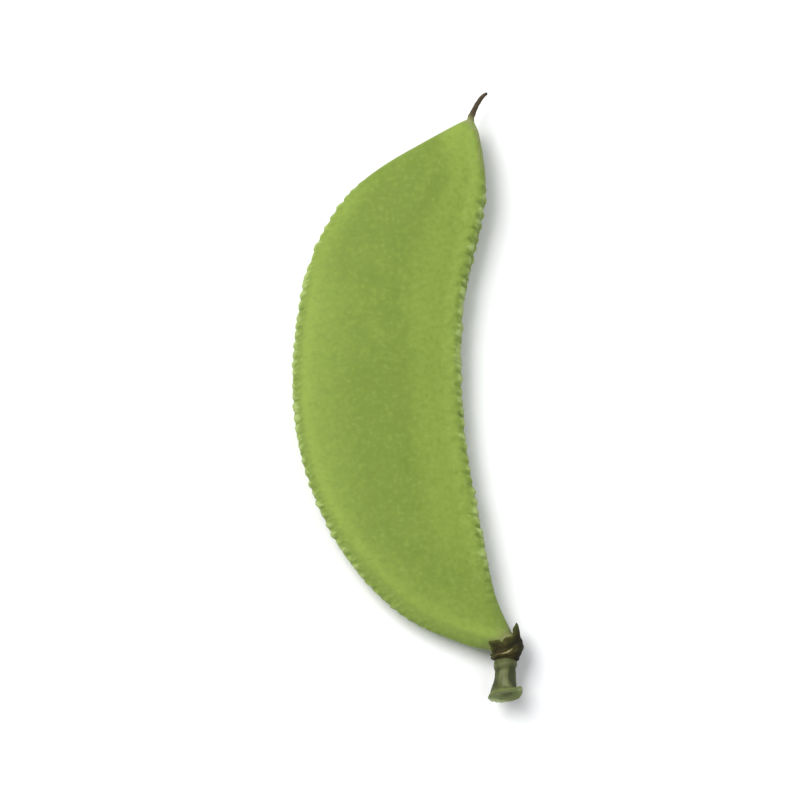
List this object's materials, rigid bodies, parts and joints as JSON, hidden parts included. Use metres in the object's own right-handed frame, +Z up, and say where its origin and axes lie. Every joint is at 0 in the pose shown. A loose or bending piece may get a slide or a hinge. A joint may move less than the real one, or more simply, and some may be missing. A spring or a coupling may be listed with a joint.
{
  "type": "flat bean pod",
  "caption": "Fresh broad flat bean pod, gently curved, with rough warty margins, a dry calyx, a short cut stalk and a dry tip, lying on one face.",
  "frame": {"origin": "on the surface that the pod lies on, under the middle of its bounding box", "axes": "+Y from the cut stalk to the tip, +Z up through the face that shows, +X towards the seam margin, on which the seeds hang"},
  "size_m": [0.0362, 0.1052, 0.0072],
  "materials": {
    "pod_skin": "matte",
    "dry_calyx": "matte",
    "stalk": "matte",
    "dry_style": "matte"
  },
  "bodies": {
    "root": {"pod": "pod_skin", "calyx": "dry_calyx", "pedicel": "stalk", "style": "dry_style"}
  },
  "joints": []
}
